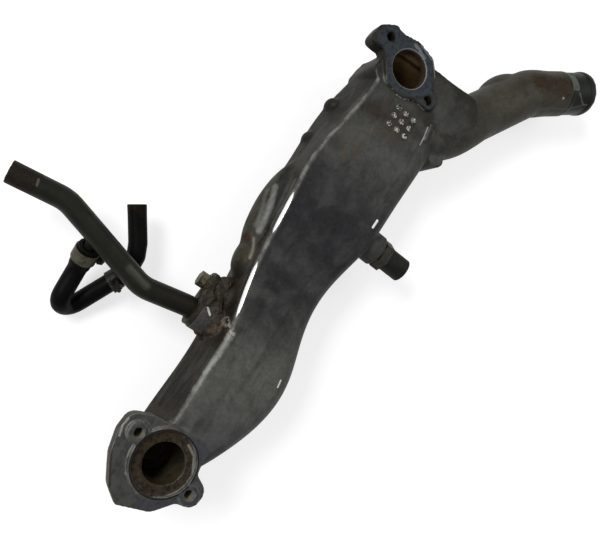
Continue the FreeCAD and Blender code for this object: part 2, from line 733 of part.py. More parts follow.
def add_clamp(name, spot, way, out_way, inner, width, length):
    """A worm clamp: band round the hose, screw housing on its outside and the screw."""
    out_way = (out_way - way * out_way.dot(way)).normalize()
    along = way.cross(out_way).normalize()
    outer = inner + size("band_thick")
    band = add_body(name + "_band")
    add_cylinder(band, name + "_band_ring", heater_spot(*spot), way, outer, width)
    add_cylinder(band, name + "_band_hole", heater_spot(*spot), way, inner, width, cut=True)
    housing = add_body(name + "_housing")
    corner = spot + way * 0.5 + out_way * (outer.value + 0.05) - along * (length / 2.0)
    block = add_box(housing, name + "_block", heater_spot(*corner),
                    FreeCAD.Rotation(way, out_way, along, "ZXY"), width - 1.0, 4.6, length)
    top = corner + out_way * 4.6
    round_edges(housing, name + "_block_round", block, 1.0, lambda edge: abs(
        (edge.CenterOfMass - vector(*heater_spot(*top))).dot(out_way)) < 0.1)
    screw_spot = corner + way * ((width.value - 1.0) / 2.0) + out_way * 2.4 - along * 3.6
    add_cylinder(housing, name + "_tunnel", heater_spot(*screw_spot), along, 1.7, length + 8.0,
                 cut=True)
    screw = add_body(name + "_screw")
    add_cylinder(screw, name + "_screw_stem", heater_spot(*screw_spot), along, 1.4, length + 5.0)
    add_cylinder(screw, name + "_screw_head", heater_spot(*screw_spot), along, 2.9, 3.0)
    add_box(screw, name + "_screw_slot", heater_spot(*(screw_spot - way * 0.4 - out_way * 3.5)),
            FreeCAD.Rotation(way, out_way, along, "ZXY"), 0.8, 7.0, 1.0, cut=True)
    return [band, housing, screw]


end_side = hose_way.cross(Z_AXIS).normalize()
end_lift = end_side.cross(hose_way).normalize()
end_clamp = add_clamp("end_clamp", hose_start + hose_way * 3.5, hose_way,
                      -end_lift * 0.4 - end_side * 0.92, size("hose_radius") + 1.2,
                      size("band_width"), 8.0)
run_start = FreeCAD.Vector(*HOSE_ROUTE[3])
run_way = (FreeCAD.Vector(*HOSE_ROUTE[4]) - run_start).normalize()
run_clamp = add_clamp("run_clamp", run_start + run_way * 34.5, run_way,
                      Z_AXIS - X_AXIS * 0.4 - Y_AXIS * 0.25, size("hose_radius") + 0.3,
                      size("band_width") - 2.0, 7.0)

# Temperature sensor with its washer and open plug shell
sensor = add_body("sensor_body")
sensor_spot = size("sensor_face") - 1.6
add_cylinder(sensor, "sensor_stem", (size("sensor_x"), sensor_spot, mid), Y_AXIS,
             size("sensor_thread") - 0.3, 24.0)
add_cylinder(sensor, "sensor_bulb", (size("sensor_x"), sensor_spot + 24.0, mid), Y_AXIS, 3.6, 12.0)
sensor_hex = add_sketch(sensor, "sensor_hex_plan", "XZ_Plane", -sensor_spot)
draw_hexagon(sensor_hex, size("sensor_x"), mid, size("sensor_flats"))
add_pad(sensor, "sensor_hex", sensor_hex, 7.5)
washer = add_body("sensor_washer")
washer_plan = add_sketch(washer, "washer_plan", "XZ_Plane", -size("sensor_face"))
draw_circle(washer_plan, size("sensor_x"), mid, 10.5)
draw_circle(washer_plan, size("sensor_x"), mid, size("sensor_thread") + 0.1)
add_pad(washer, "washer_disc", washer_plan, 1.6)
shell = add_body("sensor_connector")
shell_spot = sensor_spot - 7.5
add_cylinder(shell, "shell_outside", (size("sensor_x"), shell_spot, mid), -Y_AXIS,
             size("sensor_shell"), 19.0)
add_cylinder(shell, "shell_socket", (size("sensor_x"), shell_spot - 6.0, mid), -Y_AXIS,
             size("sensor_shell") - 1.8, 20.0, cut=True)
terminals = []
for number, offset in enumerate((-3.0, 3.0), 1):
    terminal = add_body("sensor_terminal_%d" % number)
    add_box(terminal, "blade_%d" % number,
            (size("sensor_x") + (offset - 0.5), shell_spot - 15.0, mid - 1.5), Z_AXIS, 1.0, 9.0, 3.0)
    terminals.append(terminal)

doc.recompute()
NODES = ([casting, pipe_body, seal, tab, bolt, hose, sensor, washer, shell]
         + end_clamp + run_clamp + terminals)
for item in doc.Objects:
    if "Invalid" in item.State or "Error" in item.State:
        raise RuntimeError("%s failed: %s" % (item.Name, item.State))
for node in NODES:
    shape = node.Shape
    if shape.isNull() or not shape.isValid() or len(shape.Solids) != 1:
        raise RuntimeError("%s has no single valid solid" % node.Label)
    shape.exportStep("parts/%s.step" % node.Label)
    print(node.Label, round(shape.Volume), [round(v, 1) for v in (
        shape.BoundBox.XMin, shape.BoundBox.XMax, shape.BoundBox.YMin,
        shape.BoundBox.YMax, shape.BoundBox.ZMin, shape.BoundBox.ZMax)])
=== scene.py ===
import math

import bpy
import numpy as np
from mathutils import Matrix, Vector


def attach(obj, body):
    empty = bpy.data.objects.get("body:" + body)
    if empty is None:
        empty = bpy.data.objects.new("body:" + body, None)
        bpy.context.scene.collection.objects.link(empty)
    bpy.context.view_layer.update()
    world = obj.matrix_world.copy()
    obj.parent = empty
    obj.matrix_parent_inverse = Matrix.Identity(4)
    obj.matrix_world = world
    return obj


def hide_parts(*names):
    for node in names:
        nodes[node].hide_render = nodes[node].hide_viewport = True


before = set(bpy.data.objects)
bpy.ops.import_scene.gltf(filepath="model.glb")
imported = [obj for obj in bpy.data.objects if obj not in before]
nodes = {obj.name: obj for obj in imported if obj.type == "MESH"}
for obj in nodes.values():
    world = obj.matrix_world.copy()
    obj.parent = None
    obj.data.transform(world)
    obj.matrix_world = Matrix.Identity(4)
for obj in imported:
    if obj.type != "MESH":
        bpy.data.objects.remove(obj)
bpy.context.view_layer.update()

MM = 0.001

# Sizes of the casting in millimetres, from the middle of port A
PORT_GAP = 339.0
SEAT_A = 22.6
RIM_B = 15.6
BOLT_HOLE = 3.4
BOLT_RADIUS = 28.0
BOLT_TURN = math.radians(70.0)
BOLT_STEP = (BOLT_RADIUS * math.cos(BOLT_TURN), BOLT_RADIUS * math.sin(BOLT_TURN))
DUCT_LEVEL = -26.5
BRANCH_LEVEL = -31.0
BRANCH = [(331.4, -62.9), (421.0, -116.7), (463.7, -167.9)]
BRANCH_WAY = (0.641, -0.768)


def tone(red, green, blue):
    """A paint colour from its 0 to 255 screen values."""
    return tuple(((c / 255.0 + 0.055) / 1.055) ** 2.4 if c > 10 else c / 255.0 / 12.92
                 for c in (red, green, blue)) + (1.0,)


class Field:
    """A value that changes over a surface."""

    def __init__(self, finish, socket):
        self.finish = finish
        self.socket = socket

    def __add__(self, other):
        return self.finish.maths("ADD", self, other)

    def __sub__(self, other):
        return self.finish.maths("SUBTRACT", self, other)

    def __rsub__(self, other):
        return self.finish.maths("SUBTRACT", other, self)

    def __mul__(self, other):
        return self.finish.maths("MULTIPLY", self, other)

    def __pow__(self, other):
        return self.finish.maths("POWER", self, other)

    __radd__ = __add__
    __rmul__ = __mul__


class Finish:
    """One material and the fields that drive it."""

    def __init__(self, name, **settings):
        self.material = bpy.data.materials.new(name)
        self.material.use_nodes = True
        self.tree = self.material.node_tree
        self.tree.nodes.clear()
        self.shader = self.add("ShaderNodeBsdfPrincipled")
        self.output = self.add("ShaderNodeOutputMaterial", {"Surface": self.shader.outputs[0]})
        for socket, value in settings.items():
            self.shader.inputs[socket.replace("_", " ")].default_value = value
        place = self.add("ShaderNodeTexCoord").outputs["Object"]
        self.place = self.vector("SCALE", place, scale=1.0 / MM)
        split = self.add("ShaderNodeSeparateXYZ", {"Vector": self.place})
        self.x, self.y, self.z = (Field(self, split.outputs[i]) for i in range(3))
        normal = self.add("ShaderNodeSeparateXYZ", {
            "Vector": self.add("ShaderNodeNewGeometry").outputs["Normal"]})
        self.ny, self.nz = (Field(self, normal.outputs[i]) for i in (1, 2))

    def add(self, kind, sockets=None, **settings):
        """A node of a kind with its settings, then the values or links of its sockets."""
        item = self.tree.nodes.new(kind)
        for name, value in settings.items():
            setattr(item, name, value)
        for name, value in (sockets or {}).items():
            self.feed(item.inputs[name], value)
        return item

    def feed(self, socket, value):
        if isinstance(value, Field):
            value = value.socket
        if isinstance(value, bpy.types.NodeSocket):
            self.tree.links.new(value, socket)
        else:
            socket.default_value = value

    def maths(self, kind, first, second=0.0):
        return Field(self, self.add("ShaderNodeMath", {0: first, 1: second}, operation=kind).outputs[0])

    def larger(self, first, second):
        return self.maths("MAXIMUM", first, second)

    def smaller(self, first, second):
        return self.maths("MINIMUM", first, second)

    def vector(self, kind, first, second=None, scale=None):
        sockets = {0: first}
        if second is not None:
            sockets[1] = second
        if scale is not None:
            sockets["Scale"] = scale
        return self.add("ShaderNodeVectorMath", sockets, operation=kind).outputs[0]

    def step(self, value, low, high):
        """0 up to low, 1 from high, smooth between."""
        item = self.add("ShaderNodeMapRange", {
            "Value": value, "From Min": low, "From Max": high}, interpolation_type="SMOOTHSTEP")
        return Field(self, item.outputs["Result"])

    def band(self, value, low, high, soft):
        """1 between low and high, 0 outside."""
        return self.step(value, low - soft, low + soft) * (1.0 - self.step(value, high - soft, high + soft))

    def noise(self, size, detail=3.0, rough=0.5, warp=0.0, stretch=(1.0, 1.0, 1.0), shift=0.0):
        """Cloudy field from 0 to 1 whose blots are about size millimetres across."""
        place = self.vector("MULTIPLY", self.place, tuple(1.0 / (size * s) for s in stretch))
        place = self.vector("ADD", place, (shift, shift * 0.7, shift * 1.3))
        item = self.add("ShaderNodeTexNoise", {
            "Vector": place, "Scale": 1.0, "Detail": detail, "Roughness": rough,
            "Distortion": warp})
        return Field(self, item.outputs[0])

    def length(self, way):
        """Length of a vector."""
        return Field(self, self.add("ShaderNodeVectorMath", {0: way}, operation="LENGTH").outputs["Value"])

    def spot(self, x, y, z, radius, soft=0.4):
        """1 near a place, 0 beyond the radius."""
        away = self.length(self.vector("SUBTRACT", self.place, (x, y, z)))
        return 1.0 - self.step(away, radius * (1.0 - soft), radius)

    def streak(self, first, last, radius, soft=0.5, wobble=0.0):
        """1 along the line between two places, 0 beyond the radius."""
        run = Vector(last) - Vector(first)
        away = self.vector("SUBTRACT", self.place, first)
        part = Field(self, self.add("ShaderNodeVectorMath", {
            0: away, 1: tuple(run / run.length_squared)}, operation="DOT_PRODUCT").outputs["Value"])
        part = self.larger(self.smaller(part, 1.0), 0.0)
        side = self.vector("SUBTRACT", away, self.vector("SCALE", tuple(run), scale=part))
        gap = self.length(side)
        if wobble:
            gap = gap + (self.ripple - 0.5) * wobble
        return 1.0 - self.step(gap, radius * (1.0 - soft), radius)

    def trail(self, places, radius, soft=0.5, wobble=0.0):
        """A streak through several places."""
        total = self.streak(places[0], places[1], radius, soft, wobble)
        for first, last in zip(places[1:], places[2:]):
            total = self.larger(total, self.streak(first, last, radius, soft, wobble))
        return total

    def draw(self, colour, places, radius, soft, wobble, strength, shade):
        """A trail of a tone laid over a colour."""
        return self.mix(self.trail(places, radius, soft, wobble) * strength, colour, tone(*shade))

    def blend(self, field, low, high, first, last):
        """From one tone to another as a field rises from low to high."""
        return self.mix(self.step(field, low, high), tone(*first), tone(*last))

    def ring(self, x, y, radius):
        """Distances in millimetres from a round rim and from its upright axis."""
        away = ((self.x - x) * (self.x - x) + (self.y - y) * (self.y - y)) ** 0.5
        return self.maths("ABSOLUTE", away - radius), away

    def mix(self, amount, first, second):
        """Colour blend."""
        item = self.add("ShaderNodeMix", {0: amount, 6: first, 7: second}, data_type="RGBA")
        return item.outputs[2]

    def darker(self, amount, colour):
        """Colour times an amount."""
        grey = self.add("ShaderNodeCombineColor", {0: amount, 1: amount, 2: amount}).outputs[0]
        item = self.add("ShaderNodeMix", {0: 1.0, 6: colour, 7: grey},
                        data_type="RGBA", blend_type="MULTIPLY")
        return item.outputs[2]

    def bump(self, height, depth):
        """Raised or sunk surface, depth in millimetres for a height of 1."""
        return self.add("ShaderNodeBump", {
            "Height": height, "Distance": depth * MM, "Strength": 1.0}).outputs[0]

    def set(self, **fields):
        """Drive the shader's sockets."""
        for name, value in fields.items():
            self.feed(self.shader.inputs[name.replace("_", " ")], value)


def paint_front(f):
    """Foot near port A painted light as a broad sheen, dark blue-grey belly, mid grey near port B."""
    # painted sheen: light at the foot near port A, darkening into the belly
    colour = f.blend(f.run, 70.0, 150.0, (82, 83, 78), (39, 39, 41))
    colour = f.mix(f.step(f.run, 212.0, 275.0), colour, tone(64, 64, 62))
    colour = f.mix(f.step(f.run, 264.0, 302.0), colour, tone(45, 43, 38))
    belly = f.band(f.run, 150.0, 260.0, 25.0)
    colour = f.mix(f.step(f.blots, 0.46, 0.62) * (0.5 - belly * 0.25), colour, tone(70, 70, 67))
    colour = f.mix(f.step(f.hazes, 0.5, 0.66) * (0.6 - belly * 0.45), colour, tone(74, 75, 72))
    colour = f.mix(f.step(f.smears, 0.5, 0.7) * 0.4, colour, tone(31, 31, 31))
    bloom = f.step(f.patches, 0.4, 0.62) * f.smaller(f.brown, 1.0)
    return f.mix(bloom * 0.55, colour, tone(64, 52, 40))


def paint_heater_side(f, colour):
    """Darker and browner side, streaked along its length, with its two swellings and the highlights and
    shade painted on them.
    """
    side = f.blend(f.blots, 0.35, 0.6, (42, 39, 32), (25, 23, 19))
    side = f.mix(f.step(f.smears, 0.48, 0.66) * 0.6, side, tone(68, 66, 58))
    side = f.mix(f.step(f.patches, 0.55, 0.7) * 0.35, side, tone(60, 48, 36))
    colour = f.mix(f.heater_side * (1.0 - f.front), colour, side)
    lobes = (f.spot(188.0, 36.0, -24.0, 38.0) + f.spot(150.0, 28.0, -24.0, 19.0)) * f.heater_side
    # lighter streaks on the two swellings are painted sheen
    colour = f.mix(lobes * f.step(f.smears, 0.42, 0.62) * 0.5, colour, tone(84, 84, 78))
    # long swelling: olive flank, painted shade in its hollow and painted highlight strips
    olive = f.trail([(194.0, 37.0, -24.0), (178.0, 35.0, -21.0), (168.0, 32.5, -20.5)], 7.0, 0.8, 3.0)
    colour = f.mix(olive * 0.6, colour, f.blend(f.fine, 0.4, 0.6, (66, 64, 52), (44, 42, 33)))
    colour = f.draw(colour, [(204.0, 30.0, -14.0), (192.5, 27.6, -14.0), (178.0, 25.8, -14.8)],
                    2.4, 0.8, 1.0, 0.6, (40, 38, 34))
    colour = f.draw(colour, [(204.0, 34.8, -18.4), (190.4, 30.9, -15.5), (179.9, 28.8, -15.5),
                             (169.5, 27.2, -16.8)],
                    3.6, 0.9, 2.4, 0.45 + f.step(f.smears, 0.4, 0.6) * 0.35, (140, 140, 135))
    colour = f.draw(colour, [(199.0, 37.0, -22.0), (186.0, 34.0, -18.5), (172.0, 30.5, -18.0)],
                    3.2, 0.95, 2.0, 0.45, (118, 118, 112))
    colour = f.draw(colour, [(214.0, 27.5, -9.5), (196.0, 25.8, -8.6), (176.0, 24.6, -9.4)],
                    2.4, 0.95, 1.5, 0.5, (130, 130, 125))
    # oval swelling: olive middle, a painted highlight on its rim and a rust spot
    oval = f.spot(150.0, 29.0, -18.0, 14.0, 0.5)
    colour = f.mix(oval * 0.85, colour, f.blend(f.patches, 0.42, 0.6, (66, 63, 48), (42, 39, 28)))
    colour = f.mix(f.spot(138.0, 25.5, -19.0, 8.0, 0.6) * 0.7, colour, tone(36, 31, 24))
    colour = f.draw(colour, [(163.0, 26.8, -19.0), (158.5, 25.6, -14.9), (153.6, 24.2, -12.8),
                             (148.4, 23.3, -12.2)], 1.7, 0.7, 1.2, 0.6, (132, 129, 116))
    colour = f.mix(f.spot(160.5, 30.4, -21.4, 6.0, 0.7) * 0.9, colour, tone(50, 33, 20))
    # sensor boss on the far side
    return f.mix(f.spot(212.0, -58.0, -14.0, 16.0, 0.6) * 0.5, colour, tone(62, 62, 55))


def paint_heater_boss(f, colour):
    """Dirty roots of the heater boss and its lug, with painted highlights at the ridge and in thin lines."""
    colour = f.mix(f.grime * f.step(f.fine, 0.38, 0.56) * 0.85, colour, tone(44, 36, 27))
    boss = f.band(f.y, 20.0, 33.0, 2.0) * (1.0 - f.step(f.x, 108.0, 111.0)) * f.grime
    colour = f.mix(boss * f.step(f.patches, 0.4, 0.6) * 0.6, colour, tone(54, 56, 58))
    colour = f.draw(colour, [(100.0, 14.0, -14.0), (90.0, 18.0, -17.0)], 3.0, 0.7, 2.0, 0.6, (92, 74, 56))
    # painted highlight where the ridge runs past the boss
    colour = f.draw(colour, [(102.0, 13.0, -13.0), (99.9, 11.4, -9.2), (95.3, 7.9, -3.6)],
                    4.6, 0.7, 5.0, f.step(f.fine, 0.46, 0.56), (150, 146, 138))
    # two thin painted highlight lines
    lines = f.larger(f.trail([(102.8, 28.6, -15.2), (99.3, 24.8, -14.2)], 1.1, 0.5, 0.8),
                     f.streak((84.6, 16.6, -34.0), (85.0, 17.5, -31.5), 1.8, 0.4))
    return f.mix(lines * 0.85, colour, tone(190, 190, 184))


def paint_branch(f, colour):
    """Olive grey branch, rust near its end and a cleaner end zone with scrapes."""
    skin = f.blend(f.blots, 0.35, 0.7, (68, 66, 57), (47, 45, 37))
    skin = f.mix(f.step(f.smears, 0.5, 0.7) * 0.35, skin, tone(66, 65, 59))
    skin = f.mix(f.step(f.patches, 0.55, 0.72) * 0.3, skin, tone(52, 45, 34))
    colour = f.mix(f.branch, colour, skin)
    rust = f.trail([(426.0, -114.0, -11.0), (433.8, -125.9, -10.7), (441.0, -139.0, -10.8)], 13.0, 0.6, 9.0)
    colour = f.mix(rust * f.step(f.patches, 0.3, 0.48) * 0.9, colour, tone(44, 31, 20))
    colour = f.mix(rust * f.step(f.fine, 0.55, 0.7) * 0.5, colour, tone(66, 60, 50))
    colour = f.mix(f.tip, colour, f.blend(f.blots, 0.35, 0.7, (34, 36, 31), (25, 27, 23)))
    # edge of the end zone, mould seam drawn as a painted highlight line, scrapes and a fleck
    colour = f.draw(colour, [(451.0, -131.0, -16.9), (450.0, -136.0, -13.8), (446.9, -141.3, -11.2),
                             (445.0, -147.4, -10.8), (437.5, -152.0, -14.0)],
                    1.0, 0.6, 0.8, 0.7, (24, 24, 20))
    colour = f.draw(colour, [(410.8, -130.5, -18.3), (418.7, -138.1, -17.3), (426.8, -149.6, -19.6),
                             (435.5, -158.4, -19.8), (445.5, -166.8, -17.1)],
                    1.3, 0.6, 1.2, 0.4, (92, 92, 84))
    colour = f.draw(colour, [(447.3, -154.2, -12.2), (445.2, -162.4, -15.1), (445.9, -167.2, -17.1),
                             (448.4, -170.3, -17.1)], 0.9, 0.6, 0.5, 0.55, (110, 114, 106))
    colour = f.mix(f.spot(431.3, -141.8, -12.5, 1.5) * 0.8, colour, tone(150, 150, 142))
    patch = (f.band(f.along, 37.2, 45.6, 0.25) * f.band(f.z + (f.x - 448.0) * 0.12, -16.0, -10.0, 0.3)
             * f.step(f.y * BRANCH_WAY[0] - f.x * BRANCH_WAY[1], 246.6, 247.4))
    return f.mix(patch * 0.85, colour, tone(84, 88, 79))


def mottle_and_shade(f, colour):
    """Small scale unevenness; faces that look down get painted shade, and the heater side is darker."""
    shade = (0.58 + f.step(f.patches, 0.3, 0.7) * 0.28 + f.step(f.fine, 0.3, 0.7) * 0.2
             + f.step(f.blots, 0.3, 0.7) * 0.36)
    # painted shade: faces that look down are darker
    shade = shade * (0.74 + f.step(f.nz, -0.5, 0.45) * 0.26)
    shade = shade * (1.0 - f.step(f.run, 285.0, 312.0) * (1.0 - f.branch) * 0.24)
    return f.darker(shade * (1.0 - f.heater_side * (1.0 - f.front) * 0.12), colour)


def paint_flange_a(f, colour):
    """Machined face of port A, bluish low down, with brown sides."""
    face = f.blend(f.patches, 0.4, 0.65, (74, 75, 73), (52, 53, 52))
    face = f.mix(f.step(f.scratch, 0.45, 0.7) * 0.3, face, tone(84, 85, 85))
    face = f.mix(f.step(f.fine, 0.5, 0.7) * 0.4, face, tone(44, 42, 37))
    face = f.mix(f.step(f.cloud * 8.0 - f.y, 0.0, 4.0) * 0.75, face,
                 f.blend(f.fine, 0.45, 0.7, (66, 67, 76), (50, 50, 56)))
    face = f.draw(face, [(-5.0, 37.5, -2.5), (-16.0, 31.5, -2.5), (-28.0, 24.0, -2.5)],
                  2.2, 0.5, 1.0, 0.85, (50, 41, 32))
    return f.mix(f.face_a, colour, face)


def paint_flange_b(f, colour):
    """Machined face of port B: blue-grey towards the duct, olive beyond, with painted highlights on its
    edges.
    """
    inner = f.blend(f.fine, 0.45, 0.7, (52, 56, 61), (36, 38, 40))
    outer = f.blend(f.fine, 0.45, 0.7, (36, 37, 33), (23, 23, 20))
    colour = f.mix(f.face_b, colour, f.mix(f.step(f.x * 0.93 - f.y * 0.36, 334.0, 340.0), inner, outer))
    # painted highlights along the face and rim edges of port B
    light = f.trail([(357.5, 6.0, 0.0), (357.1, 1.2, 0.0), (354.5, -5.1, 0.0)], 2.0, 0.6, 1.5)
    edge = f.trail([(361.0, 2.0, -0.3), (358.0, -13.0, -0.3), (349.0, -21.2, -0.3), (340.5, -25.0, -0.6),
                    (337.5, -33.0, -0.8), (331.0, -33.6, -0.8)], 1.0, 0.5, 0.6)
    edge_highlight = (light * 0.6 + edge * 0.7) * f.step(f.z, -3.5, -2.5)
    return f.mix(edge_highlight, colour, tone(120, 124, 126))


def paint_ports(f, colour):
    """Brown scale on the seat with a painted shadow line about it, bolt holes painted light inside, and
    painted highlights on the lug edge, the seat and the rim of port B.
    """
    sides = (1.0 - f.flat) * (1.0 - f.step(f.x, 26.0, 30.0)) * (1.0 - f.step(f.z, -3.4, -2.6))
    colour = f.mix(sides * 0.8, colour, f.blend(f.fine, 0.4, 0.6, (52, 42, 32), (42, 40, 35)))
    # painted highlight on the edge of the raised lug by the upper bolt hole
    colour = f.draw(colour, [(14.0, 36.8, -2.4), (8.5, 37.6, -2.4), (2.1, 35.8, -2.4)],
                    0.9, 0.5, 0.6, 0.8, (150, 150, 146))
    shadow_ring, away = f.ring(0.0, 0.0, SEAT_A)
    scale = f.blend(f.fine, 0.4, 0.65, (56, 47, 36), (31, 26, 19))
    scale = f.mix(f.step(f.patches, 0.5, 0.7) * 0.5, scale, tone(70, 66, 57))
    colour = f.mix(1.0 - f.step(away, 21.4, 22.2), colour, scale)
    # painted shadow line round the seat
    shadow_ring = (1.0 - f.step(shadow_ring, 0.3, 1.0)) * f.step(f.z, -9.0, -7.0)
    colour = f.mix(shadow_ring * 0.85, colour, tone(20, 17, 13))
    # painted highlight arc on the seat
    colour = f.draw(colour, [(4.0, -20.6, -2.4), (13.5, -15.5, -2.4), (17.8, -8.0, -2.4)],
                    1.2, 0.6, 0.8, 0.7, (140, 136, 128))
    for sign in (1.0, -1.0):
        rim, away = f.ring(sign * BOLT_STEP[0], sign * BOLT_STEP[1], BOLT_HOLE)
        # the insides of the bolt holes are painted light to lift their shade
        inside = (1.0 - f.step(away, 3.2, 3.7)) * (1.0 - f.step(f.z, -1.2, -0.6))
        colour = f.mix(inside, colour, tone(150, 142, 124))
        colour = f.mix((1.0 - f.step(rim, 0.5, 1.2)) * f.face_a * 0.5, colour, tone(88, 88, 80))
    # painted highlight on the rim of port B
    rim = f.ring(PORT_GAP, 0.0, RIM_B)[0]
    edge_highlight = (1.0 - f.step(rim, 0.2, 0.6)) * f.step(f.z, -2.0, -1.0)
    return f.mix(edge_highlight * 0.7, colour, tone(126, 130, 130))


def ridge_highlight_masks(f):
    """Distance from the ridge line as an angle, the ridge's reach, and its two stretches of painted
    highlight.
    """
    middle = f.maths("ABSOLUTE", f.maths("ARCTAN2", f.ny, f.nz) - 0.8)
    reach = f.step(f.z, -12.0, -8.0) * (1.0 - f.step(f.x, 318.0, 324.0))
    ridge_highlight = 0.0
    for centre, half in ((188.0, 17.5), (127.5, 21.0)):
        part = ((f.x - centre) * (1.0 / half)) ** 2.0
        ridge_highlight = 1.0 - f.step(middle + part * part * 0.34, 0.24, 0.36) + ridge_highlight
    return middle, reach, f.smaller(ridge_highlight, 1.0) * reach


def paint_highlights_and_marks(f, colour, middle, reach, ridge_highlight):
    """Painted highlights on the ridge, its faint run and its smears towards port A, highlight specks, and
    the raised marks near port B.
    """
    # faint run: a soft painted highlight along the ridge
    faint_highlight = ((0.35 + f.step(f.patches, 0.4, 0.6) * 0.65)
             * (1.0 - f.step(middle + (f.fine - 0.5) * 0.3, 0.05, 0.6)) * reach)
    colour = f.mix(faint_highlight * 0.62, colour, tone(140, 140, 135))
    # the two bright stretches of the ridge are painted highlights
    colour = f.mix(ridge_highlight, colour, tone(252, 252, 252))
    # painted highlight smears running from the ridge towards port A
    colour = f.draw(colour, [(92.0, 7.0, -3.5), (70.0, 8.5, -3.5), (48.0, 10.0, -4.5), (33.0, 11.5, -4.0)],
                    3.4, 0.8, 4.0, 0.35 + f.step(f.patches, 0.4, 0.6) * 0.5, (138, 138, 132))
    tint = (f.spot(26.0, -14.0, -3.0, 44.0, 0.8) * f.step(f.cloud, 0.35, 0.6) * f.front
            * (1.0 - f.face_a))
    colour = f.mix(tint * 0.6, colour, tone(66, 65, 70))
    # small white specks painted as highlights
    highlight_specks = f.larger(f.streak((227.0, -43.2, -3.6), (221.0, -42.9, -3.6), 1.3, 0.3),
                     f.streak((87.0, -42.2, -3.7), (82.0, -42.9, -3.7), 0.9, 0.5) * 0.7)
    colour = f.mix(highlight_specks, colour, tone(235, 235, 232))
    pads = f.band(f.z, -2.3, -1.0, 0.2) * f.band(f.x, 288.0, 322.0, 1.0) * f.band(f.y, -34.0, -2.0, 1.0)
    glints = f.step(f.grain * 0.6 + f.fine * 0.4, 0.5, 0.55)
    colour = f.mix(pads * (1.0 - glints) * 0.6, colour, tone(34, 31, 28))
    colour = f.mix(pads * glints * 0.9, colour, tone(190, 188, 182))
    return f.draw(colour, [(313.9, -39.2, -2.6), (305.0, -40.6, -2.6), (298.0, -41.2, -2.6)],
                  0.8, 0.6, 0.6, 0.65, (176, 176, 170))


def cast_metal():
    """Weathered cast aluminium with machined, stained faces."""
    f = Finish("weathered_casting", Specular_IOR_Level=0.12)
    f.cloud = f.noise(80.0, 3.0, 0.55, 0.5)
    f.blots = f.noise(24.0, 4.0, 0.6, 0.4, shift=3.1)
    f.patches = f.noise(8.0, 4.0, 0.6, 0.3, shift=6.4)
    f.hazes = f.noise(38.0, 2.0, 0.5, 0.3, stretch=(1.0, 2.2, 1.0), shift=12.5)
    f.smears = f.noise(10.0, 4.0, 0.6, 0.5, stretch=(4.0, 1.0, 1.0), shift=8.0)
    f.scratch = f.noise(0.8, 2.0, 0.5, stretch=(14.0, 1.0, 1.0), shift=5.0)
    f.fine = f.ripple = f.noise(2.6, 3.0, 0.6, shift=1.7)
    f.grain = f.noise(0.9, 2.0, 0.6)

    # regions
    f.front = f.step(f.nz, 0.55, 0.9)
    f.flat = f.step(f.nz, 0.9, 0.98)
    f.heater_side = f.step(f.ny, 0.3, 0.75)
    f.run = f.x + (f.cloud - 0.5) * 60.0 + f.y * 0.35
    f.brown = f.spot(296.0, -12.0, -4.0, 30.0, 0.8) + f.spot(262.0, 10.0, -6.0, 24.0, 0.8)
    f.grime = f.smaller(f.spot(97.0, 14.0, -22.0, 26.0, 0.6) + f.spot(118.0, 18.0, -22.0, 20.0, 0.6), 1.0)
    f.branch = f.step(f.x - f.y * 0.6, 345.0, 400.0) * (1.0 - f.step(f.z, -10.0, -3.4))
    f.along = (f.x - BRANCH[1][0]) * BRANCH_WAY[0] + (f.y - BRANCH[1][1]) * BRANCH_WAY[1]
    f.tip = f.step(f.along + (f.fine - 0.5) * 1.2, 35.6, 36.4) * f.branch
    f.face_a = f.flat * (1.0 - f.step(f.x, 27.0, 29.0)) * f.step(f.z, -2.9, -2.4)
    f.face_b = f.flat * f.step(f.z, -1.6, -0.9) * f.step(f.x, 200.0, 201.0)

    colour = paint_front(f)
    for paint in (paint_heater_side, paint_heater_boss, paint_branch, mottle_and_shade,
                  paint_flange_a, paint_flange_b, paint_ports):
        colour = paint(f, colour)
    middle, reach, ridge_highlight = ridge_highlight_masks(f)
    f.set(Base_Color=paint_highlights_and_marks(f, colour, middle, reach, ridge_highlight))
    f.set(Metallic=0.2 + ridge_highlight * 0.2 + f.face_a * 0.2 + f.face_b * 0.2)
    f.set(Roughness=0.56 - ridge_highlight * 0.2 + (f.blots - 0.5) * 0.25 - f.face_a * 0.1 - f.tip * 0.1)
    height = (f.grain * 0.2 + f.fine * 0.6 + f.patches * 0.8) * (1.0 - f.face_a) * (1.0 - f.face_b)
    rough = f.smaller(f.grime + f.brown * 0.4, 1.0)
    f.set(Normal=f.bump(height + f.scratch * 0.05 + rough * f.fine * 1.8, 0.35))
    return f.material


def waterway_scale():
    """Brown mineral scale that coats the inside of the casting."""
    f = Finish("waterway_scale", Specular_IOR_Level=0.1, Roughness=0.85)
    blots = f.noise(9.0, 4.0, 0.6, 0.5)
    fine = f.noise(1.8, 3.0, 0.6)
    colour = f.blend(blots, 0.35, 0.65, (146, 117, 82), (132, 105, 72))
    mouth_b = f.step(f.z, -16.0, -10.0) * f.step(f.x, 280.0, 300.0)
    colour = f.mix(mouth_b, colour, f.blend(fine, 0.4, 0.6, (62, 49, 33), (52, 41, 27)))
    # floor below port A, with a faint ring
    circle = f.ring(0.0, 0.0, 8.0)[0]
    scale_a = f.blend(blots, 0.35, 0.65, (62, 55, 41), (44, 40, 29))
    swirl = (1.0 - f.step(circle + fine * 1.5, 0.8, 1.8)) * (1.0 - f.step(f.z, -44.0, -42.0))
    scale_a = f.mix(swirl * 0.5, scale_a, tone(98, 89, 68))
    colour = f.mix(1.0 - f.step(f.x, 24.0, 60.0), colour, scale_a)
    f.set(Base_Color=f.mix(f.step(fine, 0.55, 0.7) * 0.3, colour, tone(60, 46, 30)))
    f.set(Normal=f.bump(fine + blots, 0.3))
    return f.material


